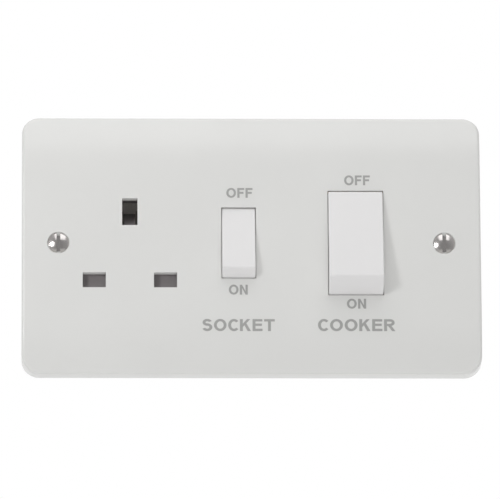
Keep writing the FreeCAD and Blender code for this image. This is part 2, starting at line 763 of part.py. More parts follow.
def make_socket_contacts():
    """Line, neutral and earth contacts: strips with a pair of sprung leaves for each pin."""
    reach = "(jaw_root + jaw_leaf)"
    left, right = f"{LINE_X} - jaw_width / 2", f"{LINE_X} + jaw_width / 2"
    end = "socket_switch_x + tip_radius + strip_margin / 2"
    low, high = "tip_z - tip_radius - strip_margin", "tip_z + tip_radius"
    base = f"{PIN_Z} - {reach}"
    line = make_strip("line_contact", [
        (left, base), (right, base), (right, low), (end, low), (end, high), (left, high),
    ])
    add_pin_jaws(line, LINE_X)
    neutral = make_strip("neutral_contact", rectangle(
        f"{NEUTRAL_X} - jaw_width / 2", f"{NEUTRAL_X} + jaw_width / 2",
        "link_z - link_width / 2", f"{PIN_Z} + {reach}",
    ))
    add_pin_jaws(neutral, NEUTRAL_X)
    half = "earth_strip_width / 2"
    bar_low, bar_high = "earth_bar_z - branch_width / 2", "earth_bar_z + branch_width / 2"
    foot = f"earth_z - earth_slot_height / 2 - {reach}"
    side = f"socket_x + {half}"
    far = "earth_terminal_x + terminal_width / 2"
    earth = make_strip("earth_contact", [
        (f"socket_x - {half}", foot), (side, foot), (side, bar_low),
        (far, bar_low), (far, bar_high), (f"socket_x - {half}", bar_high),
    ])
    window = rectangle(
        "socket_x - earth_slot_width / 2", "socket_x + earth_slot_width / 2",
        "earth_z - earth_slot_height / 2 - earth_window_gap",
        "earth_z + earth_slot_height / 2 + earth_window_gap",
    )
    take(earth, "XZ_Plane", [window], STRIP_FRONT, STRIP_REAR)
    leaf_half = "earth_slot_height / 2 - earth_window_gap"
    for sign in "+-":
        leaf = [(x, y) for y, x in jaw_leaf("socket_x", sign, "earth_jaw_length")]
        add(earth, "XY_Plane", [leaf], f"earth_z - ({leaf_half})", f"earth_z + {leaf_half}")


def make_fixed_tips():
    discs = []
    for middle in (LINE_POLE, NEUTRAL_POLE, "socket_switch_x"):
        disc = doc.addObject("Part::Cylinder", "FixedTip")
        bind(disc, Radius="tip_radius", Height="tip_thickness")
        discs.append(place(disc, middle, f"{STRIP_FRONT} - tip_thickness", "tip_z", "-90"))
    group = doc.addObject("Part::Compound", "FixedTips")
    group.Links = discs
    keep(group, "fixed_tips")


TERMINALS = [
    ("load_line_terminal", LINE_TERMINAL, "terminal_z"),
    ("load_neutral_terminal", NEUTRAL_TERMINAL, "terminal_z"),
    ("supply_line_terminal", LINE_TERMINAL, "-terminal_z - terminal_length"),
    ("supply_neutral_terminal", NEUTRAL_TERMINAL, "-terminal_z - terminal_length"),
    ("earth_terminal", "earth_terminal_x", "terminal_z"),
]
CLAMPS = ["terminal_length / 2 - clamp_pitch / 2", "terminal_length / 2 + clamp_pitch / 2"]
BORE_DEPTH = "(terminal_floor + terminal_bore)"


def make_terminal(label, x, z):
    """A tunnel block: its origin is the middle of its front lower edge."""
    body = new_body(f"{label}_body")
    half = "terminal_width / 2"
    add(body, "XY_Plane", [rectangle(f"-{half}", half, "0", "terminal_depth")], "0", "terminal_length")
    tunnel = ("circle", "0", BORE_DEPTH, "terminal_bore")
    take(body, "XY_Plane", [tunnel], "0", "terminal_length")
    taps = [("circle", "0", height, "clamp_radius + clamp_clearance") for height in CLAMPS]
    take(body, "XZ_Plane", taps, BORE_DEPTH, "terminal_depth")
    keep(place(body, x, STRIP_REAR, z), label)


def make_screw(name, outline, head, slot_low, slot_high):
    """A turned screw along Y with a straight slot across its head; the slot runs up and down."""
    body = new_body(name)
    turn(body, outline)
    slot = rectangle("-slot_width / 2", "slot_width / 2", f"-{head}", head)
    take(body, "XZ_Plane", [slot], slot_low, slot_high)
    return body


def group_screws(label, screws):
    group = doc.addObject("Part::Compound", label + "_group")
    group.Links = screws
    keep(group, label)


def make_clamp_screws():
    """Cheese-head screws, backed off so that each tunnel is open."""
    length = "(terminal_depth - terminal_floor - 2 * terminal_bore)"
    head = f"({length} + clamp_lift)"
    top = f"({head} + clamp_head_height)"
    outline = [
        ("0", "clamp_lift"), ("clamp_radius", "clamp_lift"), ("clamp_radius", head),
        ("clamp_head_radius", head), ("clamp_head_radius", top), ("0", top),
    ]
    screws = []
    for label, x, z in TERMINALS:
        for height in CLAMPS:
            screw = make_screw("ClampScrew", outline, "clamp_head_radius", f"{top} - slot_depth", top)
            deep = f"{STRIP_REAR} + terminal_floor + 2 * terminal_bore"
            screws.append(place(screw, x, deep, f"{z} + {height}"))
    group_screws("clamp_screws", screws)


def make_fixing_screws():
    """Raised countersunk screws, seated in the plate, with a plain neck and a threaded length behind."""
    seat = "(fixing_head_sink - plate_depth)"
    top = f"({seat} - fixing_head_dome)"
    dome = "((fixing_head_radius ^ 2 + fixing_head_dome ^ 2) / (2 * fixing_head_dome))"
    neck = f"({seat} + fixing_head_radius - fixing_plain_radius)"
    outline = [
        ("0", top, dome), ("fixing_head_radius", seat), ("fixing_plain_radius", neck),
        ("fixing_plain_radius", "fixing_plain_end"), ("fixing_radius", "fixing_plain_end"),
        ("fixing_radius", "fixing_tip"), ("0", "fixing_tip"),
    ]
    screws = []
    for x in FIXINGS:
        screw = make_screw("FixingScrew", outline, "fixing_head_radius", top, f"{seat} + slot_depth")
        screws.append(place(screw, x))
    group_screws("fixing_screws", screws)


def make_housing_screws():
    top = "(housing_screw_seat + housing_screw_head_height)"
    tip = "(housing_front - housing_screw_bite)"
    outline = [
        ("0", tip), ("housing_screw_radius", tip), ("housing_screw_radius", "housing_screw_seat"),
        ("housing_screw_head", "housing_screw_seat"), ("housing_screw_head", top), ("0", top),
    ]
    screws = []
    for x, z in POSTS:
        screw = make_screw(
            "HousingScrew", outline, "housing_screw_head", f"{top} - slot_depth", top
        )
        screws.append(place(screw, x, "0", z))
    group_screws("housing_screws", screws)


# Shutter


def make_shutter():
    """A slide with a wing over each pin slot and a wedge that the earth pin pushes down."""
    body = new_body("Shutter")
    web = "shutter_web / 2"
    toe = "(earth_z - earth_slot_height / 2 + shutter_gap)"
    wings = [
        (f"-{WING_HALF}", WING_BOTTOM), (WING_HALF, WING_BOTTOM), (WING_HALF, WING_TOP),
        (web, WING_TOP), (web, f"{toe} - wedge_depth"), (f"-{web}", f"{toe} - wedge_depth"),
        (f"-{web}", WING_TOP), (f"-{WING_HALF}", WING_TOP),
    ]
    add(body, "XZ_Plane", [wings], SHUTTER_FRONT, SHUTTER_REAR)
    deep = f"{SHUTTER_FRONT} + shutter_travel"
    wedge = [
        (SHUTTER_FRONT, f"{toe} - 2 * wedge_depth"), (SHUTTER_REAR, f"{toe} - 2 * wedge_depth"),
        (SHUTTER_REAR, f"{toe} + shutter_thickness - wedge_depth"),
        (deep, f"{toe} + shutter_travel - wedge_depth"), (deep, f"{toe} + shutter_travel"),
        (SHUTTER_FRONT, toe),
    ]
    add(body, "YZ_Plane", [wedge], "-wedge_width / 2", "wedge_width / 2")
    keep(place(body, "socket_x"), "shutter")


def make_shutter_cover():
    """The plate behind the shutter, held on two pegs, with a window for each pin."""
    body = new_body("ShutterCover")
    outline = rectangle(f"-{COVER_HALF}", COVER_HALF, COVER_BOTTOM, "cover_top")
    add(body, "XZ_Plane", [outline], COVER_FRONT, COVER_REAR)
    tall = "pin_slot_height / 2 + window_gap"
    wide = "pin_slot_width / 2 + window_gap"
    toe = "earth_z - earth_slot_height / 2 + shutter_gap"
    openings = []
    for x in ("pin_spacing / 2", "-pin_spacing / 2"):
        openings.append(
            rectangle(f"{x} - ({wide})", f"{x} + {wide}", f"{PIN_Z} - ({tall})", f"{PIN_Z} + {tall}")
        )
    openings.append(rectangle(
        "-earth_slot_width / 2 - window_gap", "earth_slot_width / 2 + window_gap",
        f"{toe} - shutter_travel - wedge_depth", "earth_z + earth_slot_height / 2 + window_gap",
    ))
    openings.append(rectangle(
        "-wedge_width / 2", "wedge_width / 2", f"{COVER_BOTTOM} - window_gap", f"{WING_BOTTOM} + cover_edge",
    ))
    openings += [
        ("circle", f"{side}peg_offset", "peg_z", "peg_radius + bearing_clearance") for side in ("-", "")
    ]
    take(body, "XZ_Plane", openings, COVER_FRONT, COVER_REAR)
    keep(place(body, "socket_x"), "shutter_cover")


def make_shutter_spring():
    """A spring between its seat on the plate and the shutter's lower edge."""
    spring = coil(
        "ShutterSpring", "shutter_coil_radius", "shutter_wire_radius", "shutter_coil_turns",
        f"{WING_BOTTOM} + shutter_spring_seat",
    )
    middle = f"{SHUTTER_FRONT} + shutter_thickness / 2"
    keep(place(spring, "socket_x", middle, "-shutter_spring_seat", "90"), "shutter_spring")


# Rear housing


def make_rear_housing():
    """A tray behind the plate with posts, seats for the strips, and openings for wires and screws."""
    body = new_body("RearHousing")
    top = "housing_height / 2"
    outline = rectangle("housing_left", "housing_right", f"-{top}", top)
    add(body, "XZ_Plane", [outline], "housing_front", HOUSING_REAR)
    rear = number(HOUSING_REAR)
    span = (number("housing_left"), number("housing_right"))

    def outer_corner(middle, ends):
        across = abs(ends[0].y - ends[-1].y) > NEAR
        return across and min(abs(middle.x - side) for side in span) < NEAR

    def rear_edge(middle, ends):
        return min(point.y for point in ends) > rear - NEAR

    round_edges(body, "housing_corner", outer_corner)
    round_edges(body, "housing_wall / 2", rear_edge)
    cavity = rectangle(
        "housing_left + housing_wall", "housing_right - housing_wall",
        f"housing_wall - {top}", f"{top} - housing_wall",
    )
    take(body, "XZ_Plane", [cavity], "housing_front", REAR_WALL)
    posts = [("circle", x, z, "post_radius") for x, z in POSTS]
    add(body, "XZ_Plane", posts, "housing_front", f"{REAR_WALL} + boss_root")
    add_housing_seats(body)
    cut_housing_holes(body)
    keep(body, "rear_housing")


def add_housing_seats(body):
    """Ribs from the rear wall that carry the strips, and the barrier between the two poles."""
    low = "tip_z - tip_radius - strip_margin"
    pin_half, earth_half = "jaw_width / 2", "earth_strip_width / 2"
    spans = [
        (f"{LINE_POLE} - cooker_blade_width / 2", f"{NEUTRAL_POLE} + cooker_blade_width / 2"),
        ("socket_switch_x - socket_blade_width / 2", "socket_switch_x + socket_blade_width / 2"),
    ]
    seats = []
    for left, right in spans:
        seats.append(rectangle(left, right, low, f"{low} + rib_width"))
        seats.append(rectangle(left, right, "-rib_width / 2", "rib_width / 2"))
    for middle in (LINE_X, NEUTRAL_X):
        seats.append(rectangle(
            f"{middle} - {pin_half}", f"{middle} + {pin_half}",
            f"{PIN_Z} - rib_width / 2", f"{PIN_Z} + rib_width / 2",
        ))
    seats.append(rectangle(
        f"socket_x - {earth_half}", f"socket_x + {earth_half}",
        "terminal_z", "terminal_z + rib_width",
    ))
    for seat in seats:
        add(body, "XZ_Plane", [seat], STRIP_REAR, f"{REAR_WALL} + boss_root")
    barrier = rectangle(
        "cooker_x - barrier_width / 2", "cooker_x + barrier_width / 2",
        "boss_root - housing_height / 2", "housing_height / 2 - boss_root",
    )
    add(body, "XZ_Plane", [barrier], f"{STRIP_REAR} + terminal_seat_gap", f"{REAR_WALL} + boss_root")


def cut_housing_holes(body):
    """Wire entries in the top and bottom walls, clamp screw holes in the rear, and screw wells."""
    top = "housing_height / 2"
    depth = f"{STRIP_REAR} + {BORE_DEPTH}"
    entry = "terminal_bore + entry_gap"
    upper = [("circle", x, depth, entry) for label, x, z in TERMINALS if z == "terminal_z"]
    lower = [("circle", x, depth, entry) for label, x, z in TERMINALS if z != "terminal_z"]
    take(body, "XY_Plane", upper, f"{top} - housing_wall", top)
    take(body, "XY_Plane", lower, f"-{top}", f"housing_wall - {top}")
    access = [
        ("circle", x, f"{z} + {height}", "clamp_head_radius + access_gap")
        for label, x, z in TERMINALS for height in CLAMPS
    ]
    take(body, "XZ_Plane", access, REAR_WALL, HOUSING_REAR)
    through = "housing_screw_radius + housing_screw_clearance"
    shanks = [("circle", x, z, through) for x, z in POSTS]
    take(body, "XZ_Plane", shanks, "housing_front", HOUSING_REAR)
    wells = [("circle", x, z, "housing_screw_head + fixing_clearance") for x, z in POSTS]
    take(body, "XZ_Plane", wells, "housing_screw_seat", HOUSING_REAR)


def check_document():
    """Stop if any object failed, any cut removed nothing, or a sub-part isn't a sound solid."""
    doc.recompute()
    for item in doc.Objects:
        if {"Invalid", "Error"} & set(item.State):
            raise RuntimeError(f"{item.Label} in {item.State}")
        if item.isDerivedFrom("PartDesign::Feature") and not item.Shape.isValid():
            raise RuntimeError(f"{item.Name} has an unsound shape")
        if item.TypeId in ("PartDesign::Pocket", "PartDesign::SubtractiveCone"):
            if item.Shape.Volume >= item.BaseFeature.Shape.Volume - LEAST_CUT:
                raise RuntimeError(f"{item.Name} removes nothing")
    for node in nodes:
        if node.Shape.isNull() or not node.Shape.isValid():
            raise RuntimeError(f"{node.Label} has no valid shape")


make_front_plate()
for switch in SWITCHES:
    make_rocker(switch)
make_plunger(COOKER, "-pole_offset", "cooker_line")
make_plunger(COOKER, "pole_offset", "cooker_neutral")
make_plunger(SOCKET, "0", "socket")
make_blade(COOKER, "-pole_offset", "cooker_line")
make_blade(COOKER, "pole_offset", "cooker_neutral")
make_blade(SOCKET, "0", "socket")
make_supply_strips()
make_load_strips()
make_neutral_link()
make_socket_contacts()
make_fixed_tips()
for terminal in TERMINALS:
    make_terminal(*terminal)
make_clamp_screws()
make_fixing_screws()
make_housing_screws()
make_shutter()
make_shutter_cover()
make_shutter_spring()
make_rear_housing()
check_document()

os.makedirs("parts", exist_ok=True)
for node in nodes:
    node.Shape.exportStep(f"parts/{node.Label}.step")
    solids = len(node.Shape.Solids)
    print(f"{node.Label}: {solids} solid(s), {node.Shape.Volume:.1f} mm3")
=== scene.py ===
"""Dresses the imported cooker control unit: finishes, printed words, screws, springs and a studio."""

import json
import math

import bmesh
import bpy
from bpy.props import FloatProperty, FloatVectorProperty, IntProperty, PointerProperty
from mathutils import Matrix, Quaternion, Vector


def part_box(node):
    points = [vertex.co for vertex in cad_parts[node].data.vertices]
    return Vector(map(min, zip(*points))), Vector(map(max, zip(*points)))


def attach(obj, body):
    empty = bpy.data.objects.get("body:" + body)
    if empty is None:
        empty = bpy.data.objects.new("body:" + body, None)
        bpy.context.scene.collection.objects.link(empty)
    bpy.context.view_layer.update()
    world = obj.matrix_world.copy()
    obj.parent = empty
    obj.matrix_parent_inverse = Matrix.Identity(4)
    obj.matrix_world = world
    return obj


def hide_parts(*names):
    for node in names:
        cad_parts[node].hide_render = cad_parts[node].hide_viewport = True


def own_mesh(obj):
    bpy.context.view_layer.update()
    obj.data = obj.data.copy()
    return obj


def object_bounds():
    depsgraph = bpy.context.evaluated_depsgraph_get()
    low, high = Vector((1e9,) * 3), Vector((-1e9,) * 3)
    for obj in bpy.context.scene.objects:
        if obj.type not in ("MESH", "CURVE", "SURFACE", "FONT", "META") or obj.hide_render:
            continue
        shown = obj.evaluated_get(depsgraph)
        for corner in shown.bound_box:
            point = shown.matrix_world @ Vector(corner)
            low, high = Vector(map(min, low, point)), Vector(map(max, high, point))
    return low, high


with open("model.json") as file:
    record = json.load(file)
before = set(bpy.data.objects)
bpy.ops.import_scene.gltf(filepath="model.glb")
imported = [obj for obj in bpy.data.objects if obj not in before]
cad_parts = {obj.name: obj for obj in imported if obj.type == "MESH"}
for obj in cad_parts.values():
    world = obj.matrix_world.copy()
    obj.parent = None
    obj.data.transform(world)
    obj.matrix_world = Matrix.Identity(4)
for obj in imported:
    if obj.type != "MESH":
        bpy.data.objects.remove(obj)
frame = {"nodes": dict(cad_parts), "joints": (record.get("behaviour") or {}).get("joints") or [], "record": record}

bl_info = {
    "name": "Cooker control unit",
    "version": (1, 0, 0),
    "blender": (4, 5, 0),
    "location": "3D View > Sidebar > Cooker unit",
    "description": "Finishes, words, screws, springs and a studio for a cooker control unit",
    "category": "Object",
}

CAD_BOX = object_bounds()
NODES = frame["nodes"]
JOINTS = {joint["name"]: joint for joint in frame["joints"]}
SLOTS = {piece["node"]: piece["material_slot"] for piece in frame["record"]["subparts"]}
MM = 0.001
MERGE = 0.001 * MM  # Points closer than this are one point


# Settings


def linear(code):
    """An sRGB hex colour as linear red, green, blue and alpha."""
    parts = [int(code[i:i + 2], 16) / 255 for i in (1, 3, 5)]
    return [p / 12.92 if p <= 0.04045 else ((p + 0.055) / 1.055) ** 2.4 for p in parts] + [1.0]


def colour(name, description, code):
    """A colour that a user may change, given as sRGB hex."""
    return FloatVectorProperty(
        name=name, description=description, default=linear(code), size=4, min=0.0, max=1.0,
        subtype="COLOR",
    )


def length(name, description, default):
    """A length in metres that a user may change, given in millimetres."""
    return FloatProperty(
        name=name, description=description, default=default * MM, min=0.0, precision=6,
        unit="LENGTH",
    )


def angle(name, description, default):
    """An angle that a user may change, given in degrees."""
    return FloatProperty(
        name=name, description=description, default=math.radians(default), subtype="ANGLE"
    )


def power(name, description, default):
    """A lamp's power that a user may change, in watts."""
    return FloatProperty(
        name=name, description=description, default=default, min=0.0, unit="POWER"
    )


def number(name, description, default, low, high):
    """A plain number that a user may change."""
    return FloatProperty(name=name, description=description, default=default, min=low, max=high)


class FinishSettings(bpy.types.PropertyGroup):
    """Colours of the mouldings and metals."""

    plate: colour("Plate", "Moulded urea of the front plate", "#E3E3E1")
    rocker: colour("Rockers", "Moulded polycarbonate of the two rockers", "#E6E5E5")
    housing: colour("Housing", "Moulded back housing", "#DDDBD3")
    shutter: colour("Shutter", "Grey nylon behind the pin slots", "#807B7C")
    nylon: colour("Plungers", "Natural nylon of the plungers", "#E8E2CF")
    nickel: colour("Nickel", "Plating of the fixing screws", "#DEDAD8")
    zinc: colour("Zinc", "Plating of the housing screws", "#BBBFC2")
    spring: colour("Spring wire", "Drawn steel wire", "#96989B")
    brass: colour("Brass", "Terminals and clamp screws", "#CDA85C")
    copper: colour("Copper alloy", "Strips and blades", "#C4825F")
    tin: colour("Tin", "Dull plating of the socket contacts", "#E4E1E0")
    silver: colour("Silver", "Contact tips", "#E6E5E1")
    ink: colour("Ink", "Printed words", "#A4A4A2")


class PrintSettings(bpy.types.PropertyGroup):
    """Sizes of the words printed on the plate."""

    position_height: length("ON and OFF", "Capital height of the switch positions", 3.2)
    name_height: length("Names", "Capital height of the two names", 3.85)
    lift: length("Ink thickness", "How far the ink stands off the plate", 0.02)
    stem: number("Stem", "Width of an upright stroke to the capital height", 0.23, 0.05, 0.3)
    space: number("Space", "Gap between letters to the capital height", 0.13, 0.0, 0.5)


class ScrewSettings(bpy.types.PropertyGroup):
    """Sizes of the fixing screws."""

    head: length("Head radius", "Radius of the countersunk head", 3.3)
    dome: length("Dome", "Rise of the head's raised face", 0.8)
    neck: length("Neck radius", "Radius of the plain neck in the plate", 1.55)
    core: length("Core radius", "Radius at the root of the thread", 1.43)
    crest: length("Crest radius", "Radius at the crest of the thread", 1.75)
    pitch: length("Pitch", "Rise of the thread in one turn", 0.6)
    plain: length("Plain end", "How far behind the wall plane the thread starts", 0.5)
    slot: length("Slot width", "Width of the driver slot", 1.2)
    slot_depth: length("Slot depth", "Depth of the slot below the head's edge", 0.8)
    sides: IntProperty(
        name="Sides", description="Facets round the screw", default=48, min=12, max=96
    )


class SpringSettings(bpy.types.PropertyGroup):
    """Sizes of the coil springs that don't come from the frame."""

    plunger_wire: length("Plunger wire", "Wire radius of the plunger springs", 0.25)
    shutter_wire: length("Shutter wire", "Wire radius of the shutter spring", 0.2)
    plunger_turns: number("Plunger turns", "Turns of a plunger spring", 6.0, 2.0, 20.0)
    shutter_turns: number("Shutter turns", "Turns of the shutter spring", 9.0, 2.0, 30.0)


class StageSettings(bpy.types.PropertyGroup):
    """Camera, lights and floor."""

    distance: length("Distance", "Camera to plate face", 2600)
    azimuth: angle("Azimuth", "Camera round to the right", -1.5)
    elevation: angle("Elevation", "Camera above the horizon", -16.9)
    roll: angle("Roll", "Camera turned about its view", -0.32)
    pixel: length("Pixel", "Size of a pixel at the plate's face", 0.3124)
    floor_drop: length("Floor drop", "Floor below the plate's middle", 2000)
    floor: colour("Floor", "Plain pale floor", "#ECECEA")
    room: number("Room", "Soft light from the room in front", 0.25, 0.0, 2.0)
    backdrop: number("Backdrop", "Soft light from the white behind", 1.04, 0.0, 2.0)
    key: power("Key", "Lamp at the left", 1.56)
    top: power("Top", "Soft light overhead", 1.5)
    window: power("Window", "Lamp overhead", 1.75)
    fill: power("Fill", "Lamp low in front", 14.2)


class CookerUnit(bpy.types.PropertyGroup):
    """Everything that a user may change."""

    finish: PointerProperty(name="Finishes", description="Colours", type=FinishSettings)
    words: PointerProperty(name="Words", description="Printed words", type=PrintSettings)
    screw: PointerProperty(name="Screws", description="Fixing screws", type=ScrewSettings)
    spring: PointerProperty(name="Springs", description="Coil springs", type=SpringSettings)
    stage: PointerProperty(name="Stage", description="Camera and lights", type=StageSettings)


# Nodes, meshes and objects


def add_node(tree, kind, inputs=None, links=None, **settings):
    """Add a node with its settings, input values and links."""
    node = tree.nodes.new(kind)
    for name, value in settings.items():
        setattr(node, name, value)
    for name, value in (inputs or {}).items():
        node.inputs[name].default_value = value
    for name, source in (links or {}).items():
        tree.links.new(source, node.inputs[name])
    return node


def new_material(name):
    """An empty node material, its tree and its output."""
    made = bpy.data.materials.new(name)
    made.use_nodes = True
    made.node_tree.nodes.clear()
    return made, made.node_tree, add_node(made.node_tree, "ShaderNodeOutputMaterial")


def new_tree(name, inputs):
    """A geometry tree with named inputs, each of its own kind, and one geometry output."""
    tree = bpy.data.node_groups.new(name, "GeometryNodeTree")
    for label, kind in inputs.items():
        tree.interface.new_socket(label, in_out="INPUT", socket_type=f"NodeSocket{kind}")
    tree.interface.new_socket("Geometry", in_out="OUTPUT", socket_type="NodeSocketGeometry")
    return tree, add_node(tree, "NodeGroupInput"), add_node(tree, "NodeGroupOutput")


def mesh_from(part, name):
    """Turn an edited mesh into a mesh that an object can hold."""
    mesh = bpy.data.meshes.new(name)
    part.to_mesh(mesh)
    part.free()
    return mesh


def add_object(name, data):
    """Put a new object in the scene."""
    made = bpy.data.objects.new(name, data)
    bpy.context.scene.collection.objects.link(made)
    return made


def add_piece(name, mesh, body):
    """Put a finished mesh in the scene on a CAD body."""
    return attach(add_object(name, mesh), body)


def shaped(item):
    """A plain mesh of an object as its modifiers shape it."""
    graph = bpy.context.evaluated_depsgraph_get()
    return bpy.data.meshes.new_from_object(item.evaluated_get(graph), depsgraph=graph)


def grow(name, tree, values, transform):
    """Run a geometry tree on an empty mesh and return the result as a plain mesh."""
    seed = add_object(name, bpy.data.meshes.new(name))
    modifier = seed.modifiers.new("Shape", "NODES")
    modifier.node_group = tree
    for item in tree.interface.items_tree:
        if item.item_type == "SOCKET" and item.in_out == "INPUT" and item.name in values:
            modifier[item.identifier] = values[item.name]
    mesh = shaped(seed)
    bpy.data.objects.remove(seed)
    if not mesh.polygons:
        raise RuntimeError(f"{name} has no faces")
    mesh.transform(transform)
    mesh.name = name
    return mesh


# Materials

NOISE = {"From Min": 0.3, "From Max": 0.7}  # Most of a noise lies between these
FLOW = 3  # Flow marks are this many times coarser than the waviness
SHINE = 0.03  # Flow marks change the roughness by up to this
SEEP = 1 * MM  # How far light goes into a milky moulding


def moulded(name, base, roughness, ior, grain, height, mottle, milky=0.0):
    """Moulded plastic: a slight waviness, and flow marks in its colour and shine."""
    made, tree, output = new_material(name)
    place = add_node(tree, "ShaderNodeTexCoord").outputs["Object"]
    ripple = add_node(
        tree, "ShaderNodeTexNoise", {"Scale": 1 / grain, "Detail": 2.0}, {"Vector": place}
    )
    flow = add_node(
        tree, "ShaderNodeTexNoise", {"Scale": 1 / (FLOW * grain), "Detail": 4.0}, {"Vector": place}
    )
    bump = add_node(
        tree, "ShaderNodeBump", {"Strength": 1.0, "Distance": height},
        {"Height": ripple.outputs["Fac"]},
    )
    light, rough = (
        add_node(
            tree, "ShaderNodeMapRange", NOISE | {"To Min": middle - by, "To Max": middle + by},
            {"Value": flow.outputs["Fac"]},
        ).outputs["Result"]
        for middle, by in ((1.0, mottle), (roughness, SHINE))
    )
    tone = add_node(tree, "ShaderNodeHueSaturation", {"Color": base}, {"Value": light})
    shader = add_node(
        tree, "ShaderNodeBsdfPrincipled",
        {"IOR": ior, "Subsurface Weight": milky, "Subsurface Radius": (1.0, 1.0, 1.0),
         "Subsurface Scale": SEEP},
        {"Base Color": tone.outputs["Color"], "Roughness": rough,
         "Normal": bump.outputs["Normal"]},
    )
    tree.links.new(shader.outputs["BSDF"], output.inputs["Surface"])
    return made


def metal(name, base, roughness, grain, spread):
    """Bare or plated metal: it mirrors the room, with patches that are rougher and duller."""
    made, tree, output = new_material(name)
    place = add_node(tree, "ShaderNodeTexCoord").outputs["Object"]
    patches = add_node(
        tree, "ShaderNodeTexNoise", {"Scale": 1 / grain, "Detail": 3.0}, {"Vector": place}
    )
    light, rough = (
        add_node(
            tree, "ShaderNodeMapRange", NOISE | {"To Min": start, "To Max": end},
            {"Value": patches.outputs["Fac"]},
        ).outputs["Result"]
        for start, end in (
            (1.0, 1 - spread), (roughness - spread / 2, roughness + spread / 2)
        )
    )
    tone = add_node(tree, "ShaderNodeHueSaturation", {"Color": base}, {"Value": light})
    shader = add_node(
        tree, "ShaderNodeBsdfPrincipled", {"Metallic": 1.0},
        {"Base Color": tone.outputs["Color"], "Roughness": rough},
    )
    tree.links.new(shader.outputs["BSDF"], output.inputs["Surface"])
    return made


def build_materials(finish):
    """Every finish of the unit, by the record's slot or by its own name."""
    return {
        # Urea-formaldehyde pressed in a polished tool: hard white gloss with a broad, slightly
        # wavy mirror.
        "plate_plastic": moulded(
            "urea_white", finish.plate, roughness=0.24, ior=1.55,
            grain=9 * MM, height=0.004 * MM, mottle=0.01, milky=0.3,
        ),
        # Polycarbonate from a satin tool: whiter than the plate, with a softer shine.
        "rocker_plastic": moulded(
            "polycarbonate_white", finish.rocker, roughness=0.32, ior=1.58,
            grain=6 * MM, height=0.003 * MM, mottle=0.008, milky=0.3,
        ),
        # Glass-filled back moulding: dull, slightly warm, with a fine spark-eroded grain.
        "housing_plastic": moulded(
            "filled_nylon_white", finish.housing, roughness=0.5, ior=1.53,
            grain=0.6 * MM, height=0.01 * MM, mottle=0.03,
        ),
        # Grey nylon slide: matt and dark in the slots.
        "shutter_plastic": moulded(
            "nylon_grey", finish.shutter, roughness=0.5, ior=1.53,
            grain=0.8 * MM, height=0.006 * MM, mottle=0.05,
        ),
        # Natural nylon: creamy, with a waxy shine.
        "plunger_nylon": moulded(
            "nylon_natural", finish.nylon, roughness=0.4, ior=1.53,
            grain=1 * MM, height=0.004 * MM, mottle=0.04,
        ),
        # Bright nickel plate on turned steel: warm silver with sharp lights and darks.
        "nickel_plate": metal(
            "nickel_plated_steel", finish.nickel, roughness=0.18, grain=0.7 * MM, spread=0.05
        ),
        # Clear zinc plate: cooler and duller than nickel.
        "zinc_steel": metal(
            "zinc_plated_steel", finish.zinc, roughness=0.34, grain=0.9 * MM, spread=0.06
        ),
        # Drawn wire: grey, with a long soft streak of light.
        "spring_steel": metal(
            "drawn_spring_steel", finish.spring, roughness=0.3, grain=0.5 * MM, spread=0.05
        ),
        # Sawn and drilled brass: yellow, with dull cut faces.
        "terminal_brass": metal(
            "cut_brass", finish.brass, roughness=0.32, grain=1.2 * MM, spread=0.08
        ),
        # Pressed copper alloy strip: red-brown, rolled bright and slightly tarnished.
        "copper_strip": metal(
            "rolled_copper_alloy", finish.copper, roughness=0.34, grain=2.5 * MM, spread=0.09
        ),
        # Tin plate on pressed strip: dull grey with a faint frosted spangle.
        "tinned_strip": metal(
            "tin_plated_strip", finish.tin, roughness=0.55, grain=1.5 * MM, spread=0.08
        ),
        # Silver rivet heads: pale, with a soft bloom.
        "contact_silver": metal(
            "contact_silver", finish.silver, roughness=0.26, grain=0.5 * MM, spread=0.05
        ),
        # Screen ink: mid-grey with no shine, a little thicker and darker in places.
        "ink": moulded(
            "screen_ink_grey", finish.ink, roughness=0.55, ior=1.5,
            grain=0.3 * MM, height=0.002 * MM, mottle=0.04,
        ),
    }


class COOKER_OT_finishes(bpy.types.Operator):
    """Give every solid its real material"""

    bl_idname = "cooker.finishes"
    bl_label = "Finishes"

    def execute(self, context):
        made = build_materials(context.scene.cooker_unit.finish)
        for name, node in NODES.items():
            node.data.materials.clear()
            node.data.materials.append(made[SLOTS[name]])
        return {"FINISHED"}


# Printed words: text, middle across and up and width in millimetres, and which height it takes

WORDS = [
    ("OFF", -3.7, 16.3, 8.2, "position_height"),
    ("ON", -4.2, -15.3, 5.9, "position_height"),
    ("SOCKET", -4.2, -26.8, 22.6, "name_height"),
    ("OFF", 33.15, 20.5, 8.05, "position_height"),
    ("ON", 32.65, -19.8, 6.0, "position_height"),
    ("COOKER", 32.65, -26.75, 24.15, "name_height"),
]
LEVEL = 0.85  # Width of a level stroke to that of an upright one
BOW_STEPS = 24  # Straight steps in a round stroke
BAND = 0.5 * MM  # Words are cut into bands this high, which follow the plate's crown


def bar(left, low, right, high):
    """A straight stroke of a letter: an upright or level block."""
    return [((left, low), (left, high)), ((right, low), (right, high))]


def bow(across, up, wide, tall, stem, start, stop):
    """A round stroke of a letter about a middle, between two angles in degrees."""
    ribbon = []
    for step in range(BOW_STEPS + 1):
        turn = math.radians(start + (stop - start) * step / BOW_STEPS)
        outer = (across + wide * math.cos(turn), up + tall * math.sin(turn))
        inner = (
            across + (wide - stem) * math.cos(turn), up + (tall - LEVEL * stem) * math.sin(turn)
        )
        ribbon.append((outer, inner))
    return ribbon


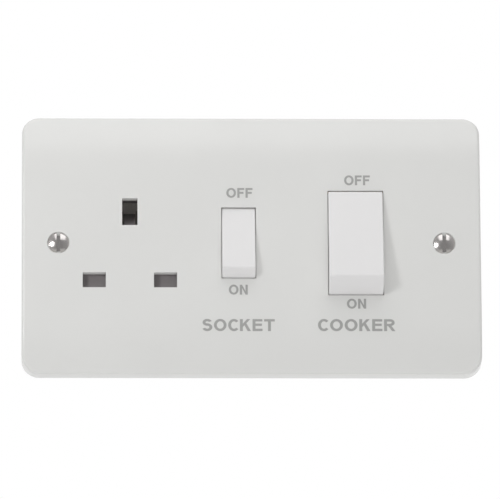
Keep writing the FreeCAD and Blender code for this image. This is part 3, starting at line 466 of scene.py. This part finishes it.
def capitals(stem):
    """The plain bold capitals in the words, one unit high, as strokes of paired points."""
    thin = LEVEL * stem
    upright = bar(0, 0, stem, 1)
    arm = Vector((stem, 0.34)), Vector((0.82, 1.0))
    return {
        "C": [bow(0.46, 0.5, 0.46, 0.51, stem, 42, 318)],
        "E": [
            upright,
            bar(stem, 0, 0.79, thin),
            bar(stem, 0.43, 0.74, 0.43 + thin),
            bar(stem, 1 - thin, 0.78, 1),
        ],
        "F": [upright, bar(stem, 0.41, 0.64, 0.41 + thin), bar(stem, 1 - thin, 0.72, 1)],
        "K": [
            upright,
            [(arm[0], (stem, 0.62)), (arm[1], (0.56, 1))],
            [(arm[0].lerp(arm[1], 0.22), arm[0].lerp(arm[1], 0.48)), ((0.61, 0), (0.87, 0))],
        ],
        "N": [
            upright,
            [((stem, 1), (stem, 0.67)), ((0.82 - stem, 0.33), (0.82 - stem, 0))],
            bar(0.82 - stem, 0, 0.82, 1),
        ],
        "O": [bow(0.5, 0.5, 0.5, 0.51, stem, 0, 360)],
        "R": [
            upright,
            bar(stem, 0.42, 0.46, 0.42 + thin),
            bar(stem, 1 - thin, 0.46, 1),
            bow(0.46, 0.71, 0.36, 0.29, stem, -90, 90),
            [((0.32, 0.42), (0.58, 0.42)), ((0.62, 0), (0.88, 0))],
        ],
        "S": [
            bow(0.4, 0.725, 0.37, 0.285, stem, 20, 270),
            bow(0.4, 0.215 + thin / 2, 0.4, 0.225 + thin / 2, stem, 90, -160),
        ],
        "T": [bar(0, 1 - thin, 0.84, 1), bar(0.42 - stem / 2, 0, 0.42 + stem / 2, 1 - thin)],
    }


def lay_word(sheet, word, sizes):
    """Add a word to a mesh, fitted to its width and height, upright and cut into bands."""
    text, across, up, width, height_name = word
    shapes = capitals(sizes.stem)
    part = bmesh.new()
    start = 0.0
    for letter in text:
        for ribbon in shapes[letter]:
            pairs = [[part.verts.new((start + x, y, 0)) for x, y in pair] for pair in ribbon]
            for (a, b), (c, d) in zip(pairs, pairs[1:]):
                part.faces.new((a, b, d, c))
        start = max(v.co.x for v in part.verts) + sizes.space
    height = getattr(sizes, height_name)
    scale = Matrix.Diagonal((width * MM / (start - sizes.space), height, 1, 1))
    middle = Matrix.Translation(((sizes.space - start) / 2, -0.5, 0))
    stand = Matrix.Rotation(math.radians(90), 4, "X")
    part.transform(Matrix.Translation((across * MM, 0, up * MM)) @ stand @ scale @ middle)
    bottom = up * MM - height / 2
    for band in range(1, math.ceil(height / BAND)):
        bmesh.ops.bisect_plane(
            part, geom=part.verts[:] + part.edges[:] + part.faces[:],
            plane_co=(0, 0, bottom + band * BAND), plane_no=(0, 0, 1),
        )
    bmesh.ops.remove_doubles(part, verts=part.verts, dist=MERGE)
    mesh = mesh_from(part, text)
    sheet.from_mesh(mesh)
    bpy.data.meshes.remove(mesh)


class COOKER_OT_print(bpy.types.Operator):
    """Print the switch positions and the two names on the plate"""

    bl_idname = "cooker.print"
    bl_label = "Printed words"

    def execute(self, context):
        sizes = context.scene.cooker_unit.words
        plate = NODES["front_plate"]
        sheet = bmesh.new()
        for word in WORDS:
            lay_word(sheet, word, sizes)
        front = CAD_BOX[0].y - MM
        for vertex in sheet.verts:
            found, spot, _, _ = plate.ray_cast((vertex.co.x, front, vertex.co.z), (0, 1, 0))
            if not found:
                raise RuntimeError("a printed word falls off the plate")
            vertex.co.y = spot.y - sizes.lift
        bmesh.ops.recalc_face_normals(sheet, faces=sheet.faces)
        for face in sheet.faces:
            if face.normal.y > 0:
                face.normal_flip()
        mesh = mesh_from(sheet, "plate_print")
        mesh.materials.append(bpy.data.materials["screen_ink_grey"])
        add_piece("plate_print", mesh, "plate")
        return {"FINISHED"}


# Fixing screws

DOME_STEPS = 6  # Rings in the raised face of a head
SHARP = math.radians(30)  # Edges steeper than this stay sharp


def turned_screw(sizes, seat, tip):
    """A plain screw turned about Y, with a raised countersunk head and a chamfered end."""
    radius = (sizes.head ** 2 + sizes.dome ** 2) / (2 * sizes.dome)
    rings = []
    for step in range(DOME_STEPS + 1):
        reach = sizes.head * step / DOME_STEPS
        rings.append((reach, seat - sizes.dome + radius - math.sqrt(radius ** 2 - reach ** 2)))
    rings += [
        (sizes.neck, seat + sizes.head - sizes.neck),
        (sizes.neck, sizes.plain),
        (sizes.core, sizes.plain + sizes.neck - sizes.core),
        (sizes.core, tip - sizes.pitch),
        (sizes.core - sizes.pitch / 2, tip),
        (0.0, tip),
    ]
    part = bmesh.new()
    chain = [part.verts.new((reach, depth, 0)) for reach, depth in rings]
    edges = [part.edges.new(pair) for pair in zip(chain, chain[1:])]
    bmesh.ops.spin(
        part, geom=chain + edges, axis=(0, 1, 0), cent=(0, 0, 0), angle=2 * math.pi,
        steps=sizes.sides,
    )
    bmesh.ops.remove_doubles(part, verts=part.verts, dist=MERGE)
    bmesh.ops.recalc_face_normals(part, faces=part.faces)
    return mesh_from(part, "turned_screw")


def slot_block(sizes, seat):
    """A block that fills the driver slot and stands out past the head all round."""
    part = bmesh.new()
    bmesh.ops.create_cube(part, size=1.0)
    deep = seat + sizes.slot_depth
    top = seat - 2 * sizes.dome
    spread = Matrix.Diagonal((sizes.slot, deep - top, 4 * sizes.head, 1))
    part.transform(Matrix.Translation((0, (deep + top) / 2, 0)) @ spread)
    return mesh_from(part, "slot_block")


def screw_blank(sizes, seat, tip):
    """One fixing screw without its thread, along Y, with a slot across its head."""
    screw = add_object("turned_screw", turned_screw(sizes, seat, tip))
    knife = add_object("slot_block", slot_block(sizes, seat))
    cut = screw.modifiers.new("Slot", "BOOLEAN")
    cut.object = knife
    cut.operation = "DIFFERENCE"
    done = shaped(screw)
    for mesh in (screw.data, knife.data):
        bpy.data.meshes.remove(mesh)
    done.shade_smooth()
    done.set_sharp_from_angle(angle=SHARP)
    return done


def screw_tree(material):
    """Thread a screw blank and set one at each end of a row."""
    tree, given, result = new_tree("Fixing screws", {
        "Blank": "Object", "Spacing": "Float", "Core": "Float", "Ridge": "Float",
        "Pitch": "Float", "Start": "Float", "Length": "Float",
    })
    value = given.outputs
    turns = add_node(
        tree, "ShaderNodeMath", None, {0: value["Length"], 1: value["Pitch"]}, operation="DIVIDE"
    )
    path = add_node(
        tree, "GeometryNodeCurveSpiral", {"Resolution": 24},
        {"Rotations": turns.outputs[0], "Start Radius": value["Core"],
         "End Radius": value["Core"], "Height": value["Length"]},
    )
    upright = add_node(
        tree, "GeometryNodeSetCurveNormal", None, {"Curve": path.outputs["Curve"]}, mode="Z_UP"
    )
    ridge = add_node(
        tree, "GeometryNodeCurvePrimitiveCircle", {"Resolution": 4}, {"Radius": value["Ridge"]},
        mode="RADIUS",
    )
    thread = add_node(
        tree, "GeometryNodeCurveToMesh", {"Fill Caps": True},
        {"Curve": upright.outputs["Curve"], "Profile Curve": ridge.outputs["Curve"]},
    )
    shift = add_node(tree, "ShaderNodeCombineXYZ", None, {"Y": value["Start"]})
    lying = add_node(
        tree, "GeometryNodeTransform", {"Rotation": (math.radians(-90), 0, 0)},
        {"Geometry": thread.outputs["Mesh"], "Translation": shift.outputs["Vector"]},
    )
    blank = add_node(tree, "GeometryNodeObjectInfo", None, {"Object": value["Blank"]})
    joined = add_node(tree, "GeometryNodeJoinGeometry")
    for source in (lying, blank):
        tree.links.new(source.outputs["Geometry"], joined.inputs["Geometry"])
    screw = add_node(
        tree, "GeometryNodeGeometryToInstance", None, {"Geometry": joined.outputs["Geometry"]}
    )
    half = add_node(
        tree, "ShaderNodeMath", {1: -0.5}, {0: value["Spacing"]}, operation="MULTIPLY"
    )
    first = add_node(tree, "ShaderNodeCombineXYZ", None, {"X": half.outputs[0]})
    apart = add_node(tree, "ShaderNodeCombineXYZ", None, {"X": value["Spacing"]})
    row = add_node(
        tree, "GeometryNodeMeshLine", {"Count": 2},
        {"Start Location": first.outputs["Vector"], "Offset": apart.outputs["Vector"]},
    )
    placed = add_node(
        tree, "GeometryNodeInstanceOnPoints", None,
        {"Points": row.outputs["Mesh"], "Instance": screw.outputs["Instances"]},
    )
    real = add_node(
        tree, "GeometryNodeRealizeInstances", None, {"Geometry": placed.outputs["Instances"]}
    )
    coat = add_node(
        tree, "GeometryNodeSetMaterial", {"Material": material},
        {"Geometry": real.outputs["Geometry"]},
    )
    tree.links.new(coat.outputs["Geometry"], result.inputs["Geometry"])
    return tree


class COOKER_OT_screws(bpy.types.Operator):
    """Make the two fixing screws with their threads"""

    bl_idname = "cooker.screws"
    bl_label = "Fixing screws"

    def execute(self, context):
        sizes = context.scene.cooker_unit.screw
        low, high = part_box("fixing_screws")
        seat = low.y + sizes.dome
        blank = add_object("screw_blank", screw_blank(sizes, seat, high.y))
        tree = screw_tree(bpy.data.materials["nickel_plated_steel"])
        mesh = grow("threaded_screws", tree, {
            "Blank": blank,
            "Spacing": high.x - low.x - 2 * sizes.head,
            "Core": sizes.core,
            "Ridge": sizes.crest - sizes.core,
            "Pitch": sizes.pitch,
            "Start": sizes.plain + sizes.pitch / 2,
            "Length": high.y - sizes.plain - 2 * sizes.pitch,
        }, Matrix())
        bpy.data.objects.remove(blank)
        piece = add_piece("threaded_screws", mesh, "plate")
        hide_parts("fixing_screws")
        return {"FINISHED"}


# Springs: the solid, the joint that presses it, the body that holds it, and its kind

SPRINGS = [
    ("cooker_line_spring", "cooker_line_press", "cooker_rocker", "plunger"),
    ("cooker_neutral_spring", "cooker_neutral_press", "cooker_rocker", "plunger"),
    ("socket_spring", "socket_press", "socket_rocker", "plunger"),
    ("shutter_spring", "shutter_slide", "plate", "shutter"),
]


def spring_tree(material):
    """A compression spring along Z, centred, with closed end coils."""
    tree, given, result = new_tree("Coil spring", {
        "Coil": "Float", "Wire": "Float", "Turns": "Float", "Length": "Float",
    })
    value = given.outputs
    path = add_node(
        tree, "GeometryNodeCurveSpiral", {"Resolution": 28, "Height": 0.0},
        {"Rotations": value["Turns"], "Start Radius": value["Coil"], "End Radius": value["Coil"]},
    )
    along = add_node(tree, "GeometryNodeSplineParameter")
    closed = add_node(
        tree, "ShaderNodeMapRange", {"To Min": -0.5, "To Max": 0.5},
        {"Value": along.outputs["Factor"]}, interpolation_type="SMOOTHSTEP",
    )
    thick = add_node(tree, "ShaderNodeMath", {1: 2.0}, {0: value["Wire"]}, operation="MULTIPLY")
    free = add_node(
        tree, "ShaderNodeMath", None, {0: value["Length"], 1: thick.outputs[0]},
        operation="SUBTRACT",
    )
    rise = add_node(
        tree, "ShaderNodeMath", None, {0: closed.outputs["Result"], 1: free.outputs[0]},
        operation="MULTIPLY",
    )
    lift = add_node(tree, "ShaderNodeCombineXYZ", None, {"Z": rise.outputs[0]})
    wound = add_node(
        tree, "GeometryNodeSetPosition", None,
        {"Geometry": path.outputs["Curve"], "Offset": lift.outputs["Vector"]},
    )
    section = add_node(
        tree, "GeometryNodeCurvePrimitiveCircle", {"Resolution": 10}, {"Radius": value["Wire"]},
        mode="RADIUS",
    )
    wire = add_node(
        tree, "GeometryNodeCurveToMesh", {"Fill Caps": True},
        {"Curve": wound.outputs["Geometry"], "Profile Curve": section.outputs["Curve"]},
    )
    smooth = add_node(tree, "GeometryNodeSetShadeSmooth", None, {"Geometry": wire.outputs["Mesh"]})
    real = add_node(
        tree, "GeometryNodeRealizeInstances", None, {"Geometry": smooth.outputs["Geometry"]}
    )
    coat = add_node(
        tree, "GeometryNodeSetMaterial", {"Material": material},
        {"Geometry": real.outputs["Geometry"]},
    )
    tree.links.new(coat.outputs["Geometry"], result.inputs["Geometry"])
    return tree


class COOKER_OT_springs(bpy.types.Operator):
    """Wind the four springs in round wire"""

    bl_idname = "cooker.springs"
    bl_label = "Springs"

    def execute(self, context):
        sizes = context.scene.cooker_unit.spring
        tree = spring_tree(bpy.data.materials["drawn_spring_steel"])
        for node, joint, body, kind in SPRINGS:
            low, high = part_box(node)
            axis = Vector(JOINTS[joint]["axis"]).normalized()
            main = max(range(3), key=lambda k: abs(axis[k]))
            outer = (high.x - low.x) / 2
            side = 2 * outer * math.sqrt(max(1 - axis[main] ** 2, 0.0))
            long = (high[main] - low[main] - side) / abs(axis[main])
            wire = getattr(sizes, f"{kind}_wire")
            turn = Vector((0, 0, 1)).rotation_difference(axis).to_matrix().to_4x4()
            mesh = grow(f"{node}_wire", tree, {
                "Coil": outer - wire,
                "Wire": wire,
                "Turns": getattr(sizes, f"{kind}_turns"),
                "Length": long,
            }, Matrix.Translation((low + high) / 2) @ turn)
            piece = add_piece(f"{node}_wire", mesh, body)
            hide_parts(node)
            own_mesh(piece)
        return {"FINISHED"}


# Stage: each lamp's name, place and size in metres, and whether gloss mirrors it

LAMPS = [
    ("key", (-0.465, -0.64, 0.11), 0.18, True),
    ("top", (0.0, -0.5, 0.72), 0.75, False),
    ("window", (0.06, -0.5, 0.72), 0.75, True),
    ("fill", (0.2, -1.0, -1.64), 1.4, False),
]
FLOOR_REACH = 6.0  # From the floor's middle to its sides, in metres
SENSOR = 36.0  # Width of the camera's sensor in millimetres
PICTURE = 500  # Width of the picture in pixels
ASIDE = (-1.5, -6.75)  # Middle of the picture from that of the plate, right and up, in pixels


def add_lamp(name, place, size, mirrored, watts):
    """A square soft lamp that looks at the middle of the unit."""
    lamp = bpy.data.lights.new(name, "AREA")
    lamp.size = size
    lamp.energy = watts
    item = add_object(name, lamp)
    item.location = place
    item.rotation_euler = (-Vector(place)).to_track_quat("-Z", "Y").to_euler()
    item.visible_glossy = mirrored


def floor_material(base):
    """Matt paint, seen from above only, so that a view from below isn't blocked."""
    made, tree, output = new_material("matt_floor_paint")
    side = add_node(tree, "ShaderNodeNewGeometry")
    paint = add_node(tree, "ShaderNodeBsdfDiffuse", {"Color": base})
    clear = add_node(tree, "ShaderNodeBsdfTransparent")
    mixed = add_node(tree, "ShaderNodeMixShader", None, {
        0: side.outputs["Backfacing"], 1: paint.outputs["BSDF"], 2: clear.outputs["BSDF"],
    })
    tree.links.new(mixed.outputs["Shader"], output.inputs["Surface"])
    return made


def light_world(room, backdrop):
    """Soft light that is dim from the room in front and bright from the white backdrop behind."""
    world = bpy.data.worlds.new("studio")
    bpy.context.scene.world = world
    world.use_nodes = True
    tree = world.node_tree
    tree.nodes.clear()
    ray = add_node(tree, "ShaderNodeLightPath")
    place = add_node(tree, "ShaderNodeTexCoord")
    axes = add_node(tree, "ShaderNodeSeparateXYZ", None, {"Vector": place.outputs["Generated"]})
    glow = add_node(
        tree, "ShaderNodeMapRange", {"From Min": -1.0, "To Min": room, "To Max": backdrop},
        {"Value": axes.outputs["Y"]},
    )
    soft = add_node(
        tree, "ShaderNodeBackground", {"Color": (1, 1, 1, 1)}, {"Strength": glow.outputs["Result"]}
    )
    plain = add_node(tree, "ShaderNodeBackground", {"Color": (1, 1, 1, 1), "Strength": 1.0})
    mixed = add_node(tree, "ShaderNodeMixShader", None, {
        0: ray.outputs["Is Camera Ray"],
        1: soft.outputs["Background"],
        2: plain.outputs["Background"],
    })
    output = add_node(tree, "ShaderNodeOutputWorld")
    tree.links.new(mixed.outputs["Shader"], output.inputs["Surface"])


def add_floor(sizes):
    """A wide pale floor, far below, that throws no light back on the unit."""
    sheet = bmesh.new()
    bmesh.ops.create_grid(sheet, x_segments=1, y_segments=1, size=FLOOR_REACH)
    sheet.transform(Matrix.Translation((0, 0, -sizes.floor_drop)))
    mesh = mesh_from(sheet, "floor")
    mesh.materials.append(floor_material(sizes.floor))
    floor = add_object("floor", mesh)
    floor.visible_diffuse = False


def add_camera(sizes):
    """The photo's view of the plate's face, from a little below and to the left."""
    face = Vector((0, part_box("front_plate")[0].y, 0))
    level = math.cos(sizes.elevation)
    back = Vector((
        math.sin(sizes.azimuth) * level,
        -math.cos(sizes.azimuth) * level,
        math.sin(sizes.elevation),
    ))
    turn = (-back).to_track_quat("-Z", "Y") @ Quaternion((0, 0, 1), sizes.roll)
    aside = turn @ Vector((ASIDE[0] * sizes.pixel, ASIDE[1] * sizes.pixel, 0))
    lens = bpy.data.cameras.new("camera")
    lens.sensor_width = SENSOR
    lens.lens = sizes.distance * SENSOR / (PICTURE * sizes.pixel)
    camera = add_object("camera", lens)
    camera.location = face + back * sizes.distance + aside
    camera.rotation_euler = turn.to_euler()
    bpy.context.scene.camera = camera


class COOKER_OT_stage(bpy.types.Operator):
    """Set up the floor, lights and camera"""

    bl_idname = "cooker.stage"
    bl_label = "Stage"

    def execute(self, context):
        sizes = context.scene.cooker_unit.stage
        add_floor(sizes)
        light_world(sizes.room, sizes.backdrop)
        for name, place, size, mirrored in LAMPS:
            add_lamp(name, place, size, mirrored, getattr(sizes, name))
        add_camera(sizes)
        context.scene.view_settings.view_transform = "Standard"
        return {"FINISHED"}


# The panel, and what Blender is told of

STEPS = [
    (COOKER_OT_finishes, "finish"),
    (COOKER_OT_print, "words"),
    (COOKER_OT_screws, "screw"),
    (COOKER_OT_springs, "spring"),
    (COOKER_OT_stage, "stage"),
]


class COOKER_PT_unit(bpy.types.Panel):
    """Settings and steps of the cooker control unit"""

    bl_label = "Cooker unit"
    bl_idname = "COOKER_PT_unit"
    bl_space_type = "VIEW_3D"
    bl_region_type = "UI"
    bl_category = "Cooker unit"

    def draw(self, context):
        unit = context.scene.cooker_unit
        for step, group in STEPS:
            box = self.layout.box()
            box.operator(step.bl_idname)
            settings = getattr(unit, group)
            for name in type(settings).__annotations__:
                box.prop(settings, name)


CLASSES = [
    FinishSettings, PrintSettings, ScrewSettings, SpringSettings, StageSettings, CookerUnit,
    COOKER_OT_finishes, COOKER_OT_print, COOKER_OT_screws, COOKER_OT_springs, COOKER_OT_stage,
    COOKER_PT_unit,
]


def register():
    for item in CLASSES:
        bpy.utils.register_class(item)
    bpy.types.Scene.cooker_unit = PointerProperty(
        name="Cooker unit", description="Settings of the cooker control unit", type=CookerUnit
    )


def unregister():
    del bpy.types.Scene.cooker_unit
    for item in reversed(CLASSES):
        bpy.utils.unregister_class(item)


def main():
    register()
    bpy.ops.cooker.finishes()
    bpy.ops.cooker.print()
    bpy.ops.cooker.screws()
    bpy.ops.cooker.springs()
    bpy.ops.cooker.stage()
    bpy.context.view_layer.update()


if __name__ == "__main__":
    main()
